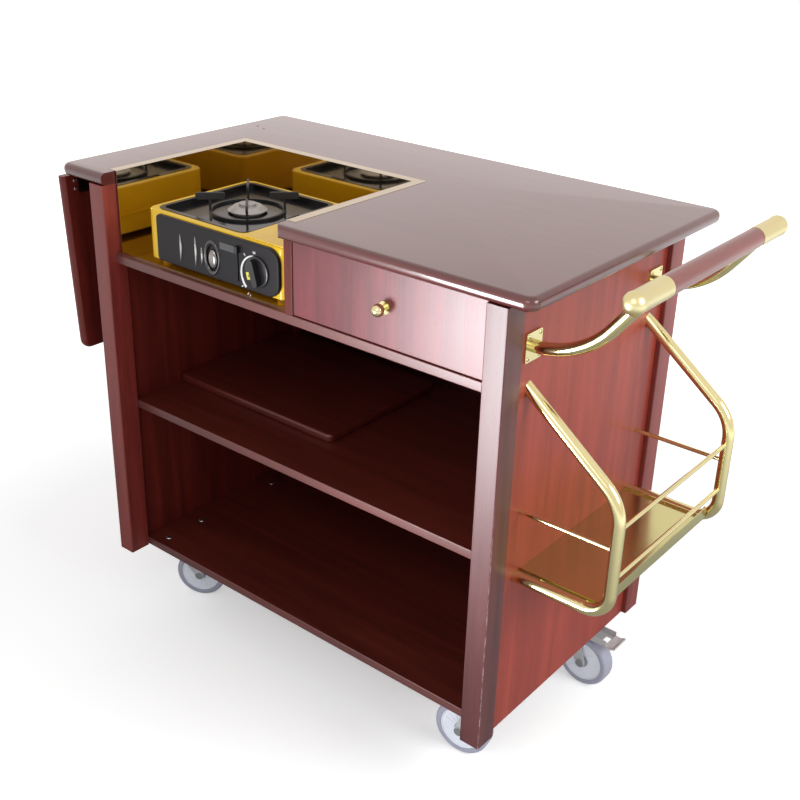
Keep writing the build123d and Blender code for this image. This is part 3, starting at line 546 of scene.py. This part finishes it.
screws = screw_tree()
plate_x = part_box("handle_arm_front")[0].x + PLATE_T
arm_y = [sum(c.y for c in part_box(n)) / 2 for n in ("handle_arm_front", "handle_arm_rear")]
grow("handle_plate_screws", screws,
     points([((plate_x, y + dy, PLATE_MIDDLE + dz), (1, 0, 0)) for y in arm_y
             for dy, dz in PLATE_SCREWS]), "cart", "gold_tube",
     Radius=0.0034, Height=0.0014, Head=gold, Recess=shadow)
grow("caster_bolt_heads", screws,
     points([(at(sx * CASTER_X, sy * CASTER_Y + dy, SHELF_TOP), (0, 0, 1)) for sx in SIDES
             for sy in SIDES for dy in (-BOLT_OUT, BOLT_OUT)]), "cart", "caster_chrome",
     Radius=0.0072, Height=0.0022, Head=zinc, Recess=shadow)
print("screw tree inputs:", [i.name for i in screws.interface.items_tree if i.in_out == "INPUT"])

# %% [markdown]
# Small flush screws hold the hinge halves. The ones on the leaf hang with it, so their places are
# turned about the hinge, and they stand about 19 mm nearer the front than those under the top.

# %% Hinge screws
HINGE_YS, HINGE_SCREWS = (-190, 23, 236), (-24, 24)
PIVOT_X, PIVOT_Z, HANG = -507, 741, 3.5
LEAF_ROWS, PROUD = (17, 32), 0.0002         # mm below the pivot, and metres inwards from it
TOP_ROW_X, TOP_ROW_Z = -485, 736.5
FLUSH = {"Height": 0.0008, "Head": zinc, "Recess": shadow}

swing = (Matrix.Translation(at(PIVOT_X, 0, PIVOT_Z))
         @ Matrix.Rotation(math.radians(-HANG), 4, "Y"))
inward = (swing.to_3x3() @ Vector((1, 0, 0))).normalized()
nearer_front = Vector((0, CENTRE.y, 0))
grow("leaf_hinge_screws", screws,
     points([(swing @ Vector((PROUD, (y + dy) / 1000, -down / 1000)) + nearer_front, inward)
             for y in HINGE_YS for dy in HINGE_SCREWS for down in LEAF_ROWS]),
     "leaf", "rail_zinc", Radius=0.0032, **FLUSH)
grow("hinge_plate_screws", screws,
     points([(at(TOP_ROW_X, y + dy, TOP_ROW_Z), (0, 0, -1))
             for y in HINGE_YS for dy in HINGE_SCREWS]),
     "cart", "rail_zinc", Radius=0.0032, **FLUSH)
print("the leaf's screws stand nearer the front by", round(-CENTRE.y * 1000, 1), "mm")

# %% [markdown]
# Screws hold the back panel along the shelves and down its two sides. Two small dark discs in the
# worktop, near its rear left corner, are painted shade for two screw holes. All are the same tree
# with other sizes.

# %% Back panel screws and painted shade for holes in the top
BACK_Y, BACK_SCREW_X, TOP_Z = 245, 387, 760
SHELF_MIDDLES, BETWEEN_SHELVES = (9, 312, 605), (160, 460, 722)
HOLE_SHADE_SPOTS = ((-470, 185), (-445, 177))

along_shelves = [(x, z) for x in (-BACK_SCREW_X, 0, BACK_SCREW_X) for z in SHELF_MIDDLES]
down_sides = [(side * BACK_SCREW_X, z) for side in SIDES for z in BETWEEN_SHELVES]
grow("back_panel_screws", screws,
     points([(at(x, BACK_Y, z), (0, 1, 0)) for x, z in along_shelves + down_sides]),
     "cart", "rail_zinc", Radius=0.0036, **FLUSH)
# Dark discs as painted shade for two screw holes in the top.
grow("top_hole_shade", screws, points([(at(x, y, TOP_Z), (0, 0, 1)) for x, y in HOLE_SHADE_SPOTS]),
     "cart", "rail_zinc", Radius=0.0026, Height=0.0003, Head=shadow, Recess=shadow)
print("back panel screws:", len(along_shelves + down_sides))

# %% [markdown]
# The wheels have a pale nylon disc on each side, stepped near the rim and stiffened by radial ribs.
# The disc is a profile turned round the axle, and the ribs are a second tree that spaces thin bars
# round a circle. Both are made lying flat at the origin and then put into their place.


# %% Turned discs and radial ribs
def turned(name, profile, steps=64):
    """A closed mesh turned round Z from (radius, height) points."""
    verts = [(r * math.cos(a), r * math.sin(a), h) for r, h in profile
             for a in (2 * math.pi * k / steps for k in range(steps))]
    count = len(profile)
    faces = [(i * steps + k, i * steps + (k + 1) % steps, (i + 1) % count * steps + (k + 1) % steps,
              (i + 1) % count * steps + k) for i in range(count) for k in range(steps)]
    mesh = bpy.data.meshes.new(name)
    mesh.from_pydata(verts, [], faces)
    mesh.polygons.foreach_set("use_smooth", [True] * len(faces))
    return mesh


def rib_tree():
    """Thin bars round a circle, joined to the mesh that the tree runs on."""
    tree, ask = new_tree("radial ribs", ("Base", "Geometry", None), ("Count", "Int", 36),
                         ("Inner", "Float", 0.015), ("Outer", "Float", 0.032),
                         ("Width", "Float", 0.0007), ("Height", "Float", 0.0012),
                         ("Level", "Float", 0.013), ("Finish", "Material", None))
    angle = add(tree, "GeometryNodeInputIndex") / ask["Count"] * (2 * math.pi)
    reach = (ask["Inner"] + ask["Outer"]) * 0.5
    spot = vector(tree, angle.math("COSINE") * reach, angle.math("SINE") * reach, ask["Level"])
    dots = add(tree, "GeometryNodePoints", {}, {"Count": ask["Count"], "Position": spot})
    size = vector(tree, ask["Outer"] - ask["Inner"], ask["Width"], ask["Height"])
    rib = add(tree, "GeometryNodeMeshCube", {}, {"Size": size})
    ribs = add(tree, "GeometryNodeInstanceOnPoints", {},
               {"Points": dots, "Instance": rib, "Rotation": vector(tree, z=angle)})
    return end_tree(tree, join(tree, [paint(tree, ribs, ask["Finish"]), ask["Base"]]))


# %% Wheel discs
ribs = rib_tree()
disc_profile = [(0.0122, 0.0102), (0.0388, 0.0102), (0.0388, 0.0140), (0.0368, 0.0142),
                (0.0358, 0.0130), (0.0338, 0.0130), (0.0330, 0.0138), (0.0150, 0.0134),
                (0.0122, 0.0134)]


def wheel_place(place):
    """Matrix that stands Z along a wheel's axle."""
    joint = joints["wheel_" + place]
    axle = Vector(joint["axis"])
    return Matrix.Translation(joint["pos_m"]) @ axle.to_track_quat("Z", "Y").to_matrix().to_4x4()


for place in ("front_left", "front_right", "rear_left", "rear_right"):
    for side, flip in (("a", 0), ("b", math.pi)):
        disc = turned("disc", disc_profile)
        disc.materials.append(disc_grey)
        piece = grow(f"wheel_disc_{place}_{side}", ribs, disc, "wheel_" + place, "caster_tread",
                     wheel_place(place) @ Matrix.Rotation(flip, 4, "X"), Count=16, Inner=0.0155,
                     Outer=0.0325, Width=0.0009, Height=0.0014, Level=0.01365, Finish=disc_grey)
        smooth(piece)
print("disc triangles:", sum(len(p.vertices) - 2 for p in piece.data.polygons))

# %% [markdown]
# The stove's face carries the only markings: a white arc that widens towards the high setting, a
# few plain ticks, and a yellow pointer on the knob. They are thin raised strips, bent round the
# scale's own centre, which is given from the dial's joint.

# %% Flat strips on the stove's face
dial = Vector(joints["dial_turn"]["pos_m"])
face_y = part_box("stove_front")[0].y


def strip(name, path, widths, y, thick, body, finish):
    """A flat band on the stove's face that follows (x, z) points, in metres from the dial."""
    verts, faces = [], []
    for k, (x, z) in enumerate(path):
        ax, az = path[max(k - 1, 0)]
        bx, bz = path[min(k + 1, len(path) - 1)]
        long = math.hypot(bx - ax, bz - az)
        nx, nz = -(bz - az) / long * widths[k] / 2, (bx - ax) / long * widths[k] / 2
        for depth in (0, thick):
            verts += [(dial.x + x - nx, y - depth, dial.z + z - nz),
                      (dial.x + x + nx, y - depth, dial.z + z + nz)]
    last = 4 * (len(path) - 1)
    for a in range(0, last, 4):
        b = a + 4
        faces += [(a + 2, a + 3, b + 3, b + 2), (a, b, b + 1, a + 1), (a, a + 2, b + 2, b),
                  (a + 1, b + 1, b + 3, a + 3)]
    faces += [(0, 1, 3, 2), (last, last + 2, last + 3, last + 1)]
    mesh = bpy.data.meshes.new(name)
    mesh.from_pydata(verts, [], faces)
    mesh.materials.append(finish)
    mesh.update()
    return show(name, mesh, body, "stove_dark")


# %% Scale and pointer
SCALE_CENTRE, SCALE_R, TICK_R = (-0.0040, -0.0080), 0.0325, 0.0365
PRINT_T, TICK_WIDE = 0.0003, 0.0016
THIN, WIDENS = 0.0022, 0.0026               # the arc's narrow end, and what the other end adds
TICKS = ((1, 0.004), (6, 0.004), (38, 0.005), (128, 0.005), (152, 0.004), (160, 0.004))
MARK, MARK_WAY = Vector((-0.0166, -0.0096)), Vector((-0.276, 0.961))


def on_scale(radius, angle):
    """Point of the printed scale, at so many degrees left of straight up."""
    a = math.radians(angle)
    return (SCALE_CENTRE[0] - radius * math.sin(a), SCALE_CENTRE[1] + radius * math.cos(a))


def pointer(name, half, width, y, thick, finish):
    """A patch on the knob, along the way that it points."""
    ends = [MARK + MARK_WAY * half, MARK - MARK_WAY * half]
    strip(name, ends, [width, width], y, thick, "dial", finish)


arc = [on_scale(SCALE_R, a) for a in range(8, 140, 3)]
strip("dial_arc", arc, [THIN + WIDENS * k / len(arc) for k in range(len(arc))], face_y, PRINT_T,
      "stove", ink)
for k, (angle, size) in enumerate(TICKS):
    strip(f"dial_tick_{k}", [on_scale(TICK_R, angle), on_scale(TICK_R + size, angle)],
          [TICK_WIDE, TICK_WIDE], face_y, PRINT_T, "stove", ink)
pointer("dial_pointer", 0.0062, 0.0098, face_y - 0.0031, 0.0004, mark_yellow)
pointer("dial_pointer_eye", 0.0018, 0.0018, face_y - 0.0035, 0.0002, black_plastic)

# %% [markdown]
# The rest of the face is moulded: a thin skirt round the dial, an oval bezel with a chromed window,
# a flat dark glossy band at the lever, and three upright ribs that catch the light. A loft joins a
# row of closed loops into one skin.


# %% Lofts and ovals
def loft(name, loops, body, finish, ring=False):
    """Skin over closed loops of equal length; a ring joins its last loop to its first."""
    count = len(loops[0])
    faces = [(i * count + k, i * count + (k + 1) % count, j * count + (k + 1) % count, j * count + k)
             for i, j in zip(range(len(loops)), [*range(1, len(loops)), 0]) if ring or j
             for k in range(count)]
    if not ring:
        faces += [tuple(range(count))[::-1],
                  tuple(range((len(loops) - 1) * count, len(loops) * count))]
    mesh = bpy.data.meshes.new(name)
    mesh.from_pydata([p for loop in loops for p in loop], [], faces)
    mesh.materials.append(finish)
    piece = show(name, mesh, body, "stove_dark")
    smooth(piece, 50)
    return piece


def oval(x, z, wide, high, out, steps=56):
    """Ellipse in front of the face, round a point given from the dial."""
    return [(dial.x + x + wide * math.cos(a), face_y - out, dial.z + z + high * math.sin(a))
            for a in (2 * math.pi * k / steps for k in range(steps))]


# %% Skirt, bezel and window
SKIRT = ((0.0211, 0.0003), (0.0256, 0.0003), (0.0256, 0.0022), (0.0248, 0.0030),
         (0.0211, 0.0030))                  # radius, and distance in front of the face
OVAL_X, OVAL_Z = -0.1045, -0.001
BEZEL = ((0.0140, 0.0232, 0.0), (0.0185, 0.0300, 0.0), (0.0182, 0.0297, 0.0010),
         (0.0172, 0.0284, 0.0018), (0.0158, 0.0262, 0.0018),
         (0.0145, 0.0240, 0.0008))          # half width, half height, distance
WINDOW = ((0.0100, 0.0170, 0.0), (0.0099, 0.0169, 0.0014), (0.0090, 0.0156, 0.0032),
          (0.0068, 0.0120, 0.0046), (0.0034, 0.0062, 0.0054), (0.0006, 0.0010, 0.0056))
WINDOW_DOWN, WINDOW_SUNK = 0.003, 0.0028

loft("dial_skirt", [oval(0, 0, r, r, out) for r, out in SKIRT], "dial", black_plastic, ring=True)
loft("oval_bezel", [oval(OVAL_X, OVAL_Z, w, h, out) for w, h, out in BEZEL], "stove", glass_black,
     ring=True)
loft("oval_window", [oval(OVAL_X, OVAL_Z - WINDOW_DOWN, w, h, out - WINDOW_SUNK)
                     for w, h, out in WINDOW], "stove", smoked_chrome)

# %% Ribs and the dark band at the lever
RIBS = ((-0.182, -0.026, 0.022), (-0.145, -0.026, 0.026), (-0.130, -0.020, 0.011))
LEVER_X, LEVER_Z, LEVER_HIGH, LEVER_T = (-0.085, -0.046), 0.025, 0.0115, 0.0005


def upright_rib(name, x, z0, z1, wide=0.0028, out=0.0026, bow=0.0016, steps=20):
    """A half-round rib on the face, a little bowed and running out at both ends."""
    loops = []
    for k in range(steps + 1):
        t = k / steps
        size = max(math.sin(math.pi * t), 0.04) ** 0.5
        side = x + bow * (4 * t * (1 - t))
        arch = [math.pi * n / 8 for n in range(9)]
        loops.append([(dial.x + side + wide * size * math.cos(a), face_y - out * size * math.sin(a),
                       dial.z + z0 + (z1 - z0) * t) for a in arch])
    return loft(name, loops, "stove", smoked_chrome)


for k, (x, z0, z1) in enumerate(RIBS):
    upright_rib(f"face_rib_{k}", x, z0, z1)
# A flat dark glossy band at the lever.
strip("lever_dark_band", [(x, LEVER_Z) for x in LEVER_X], [LEVER_HIGH, LEVER_HIGH], face_y, LEVER_T,
      "stove", glass_black)

# %% [markdown]
# The camera stands where the photograph was taken: the position, angles and focal length were
# solved from the cart's own straight edges. A small shift of the lens puts the solved middle of the
# picture in its place.

# %% Camera
IMAGE, SENSOR = 800, 36                     # widths in pixels and in millimetres
FOCAL, MIDDLE_X, MIDDLE_Y = 1159.23, 395.08, 380.94     # pixels
STAND = (1194.9, -1437.08, 1284.3)          # carcass millimetres
yaw, pitch, roll = (math.radians(v) for v in (38.636, -25.025, 1.545))

ahead = Vector((-math.sin(yaw) * math.cos(pitch), math.cos(yaw) * math.cos(pitch), math.sin(pitch)))
level = Vector((math.cos(yaw), math.sin(yaw), 0))
above = level.cross(ahead)
right = math.cos(roll) * level + math.sin(roll) * above
up = -math.sin(roll) * level + math.cos(roll) * above
camera = bpy.data.objects.new("camera", bpy.data.cameras.new("camera"))
bpy.context.scene.collection.objects.link(camera)
camera.matrix_world = (Matrix.Translation(at(*STAND))
                       @ Matrix((right, up, -ahead)).transposed().to_4x4())
camera.data.sensor_width = SENSOR
camera.data.lens = FOCAL / IMAGE * SENSOR
camera.data.shift_x = (IMAGE / 2 - MIDDLE_X) / IMAGE
camera.data.shift_y = (MIDDLE_Y - IMAGE / 2) / IMAGE
camera.data.clip_end = 50
bpy.context.scene.camera = camera
print("lens:", round(camera.data.lens, 2), "mm")

# %% [markdown]
# The stage is a pale floor under an even sky. The eye and polished things see the sky at full
# strength, which is what makes the top glossy, but it lights the cart at about half of that. Close
# round the cart the floor keeps the cart's shadow, and in reflections its colour is darker there,
# painted shade; further out it glows.


# %% Rays
def ray(tree, kind):
    """1 for rays of one kind: Camera, Glossy or Transmission."""
    return add(tree, "ShaderNodeLightPath", out=f"Is {kind} Ray")


def bare_rays(tree):
    """1 where the eye, a mirror or glass sees the stage, and 0 where it lights the cart."""
    seen = ray(tree, "Camera") + ray(tree, "Glossy") + ray(tree, "Transmission")
    return seen.math("MINIMUM", 1.0)


def grey(v):
    """A grey in linear light."""
    return (v, v, v, 1)


# %% Floor
NEAR, FAR, FLOOR_HALF = 0.9, 2.6, 9         # where the glow starts and is whole, and half a side
FAR_GLOW, EYE_GLOW = 0.6, 0.4

stage_floor = Finish("pale floor", Roughness=0.9, Emission_Strength=1.0)
away = stage_floor.place().length().between(NEAR, FAR)
plain = stage_floor.mix(stage_floor.noise(stage_floor.place(), 3.0) * 0.05, grey(0.93), grey(0.90))
# Painted shade: close round the cart the floor is darker where it is seen in reflections.
stage_floor.set("Base Color", stage_floor.mix(ray(stage_floor.tree, "Glossy") * (1 - away), plain,
                                              grey(0.42)))
lit = (away * bare_rays(stage_floor.tree) * FAR_GLOW
       + ray(stage_floor.tree, "Camera") * EYE_GLOW)
stage_floor.set("Emission Color", stage_floor.mix(lit, grey(0), grey(1)))
floor_mesh = bpy.data.meshes.new("floor")
floor_mesh.from_pydata([(x * FLOOR_HALF, y * FLOOR_HALF, 0)
                        for x, y in ((-1, -1), (1, -1), (1, 1), (-1, 1))], [], [(0, 1, 2, 3)])
floor_mesh.materials.append(stage_floor.material)
floor = bpy.data.objects.new("floor", floor_mesh)
bpy.context.scene.collection.objects.link(floor)

# %% Sky
WARM_WHITE = (1.0, 0.92, 0.89, 1)           # the sky's colour in polished things
LIGHTS, SEEN_MORE = 0.55, 0.45              # its strength as a lamp, and what the eye sees on top

sky = bpy.data.worlds.new("studio")
bpy.context.scene.world = sky
sky.use_nodes = True
sky_tree = sky.node_tree
sky_tree.nodes.clear()
tone = add(sky_tree, "ShaderNodeMix", {"data_type": "RGBA"},
           {0: ray(sky_tree, "Glossy"), 6: grey(1), 7: WARM_WHITE}, 2)
glow = add(sky_tree, "ShaderNodeBackground", {},
           {"Color": tone, "Strength": bare_rays(sky_tree) * SEEN_MORE + LIGHTS})
sky_tree.links.new(glow.socket, sky_tree.nodes.new("ShaderNodeOutputWorld").inputs[0])

# %% [markdown]
# Three lamps give the forms: a large soft panel above and in front, one at the right that lights
# the end, and a narrow low one in front that gives the drawer and the near post their sheen.


# %% Lamps
def softbox(name, place, aim, width, height, power, tint=(1, 1, 1), spread=180):
    """A rectangular lamp turned towards a point."""
    lamp = bpy.data.lights.new(name, "AREA")
    lamp.color, lamp.spread = tint, math.radians(spread)
    lamp.shape, lamp.size, lamp.size_y, lamp.energy = "RECTANGLE", width, height, power
    holder = bpy.data.objects.new(name, lamp)
    bpy.context.scene.collection.objects.link(holder)
    holder.location = place
    holder.rotation_euler = (Vector(aim) - Vector(place)).to_track_quat("-Z", "Y").to_euler()


softbox("front panel", place=(1.0, -2.6, 2.6), aim=(0, 0, 0.5), width=1.6, height=1.2, power=16)
softbox("low front panel", place=(-0.15, -1.3, 0.35), aim=(0.42, -0.25, 0.66), width=0.5, height=0.6,
        power=3.6, tint=(0.95, 0.97, 1.0), spread=60)
softbox("right panel", place=(2.8, 0.2, 2.0), aim=(0.3, 0, 0.4), width=1.4, height=1.4, power=44)
bpy.context.scene.view_settings.view_transform = "Standard"

# %% Bring the scene up to date
bpy.context.view_layer.update()
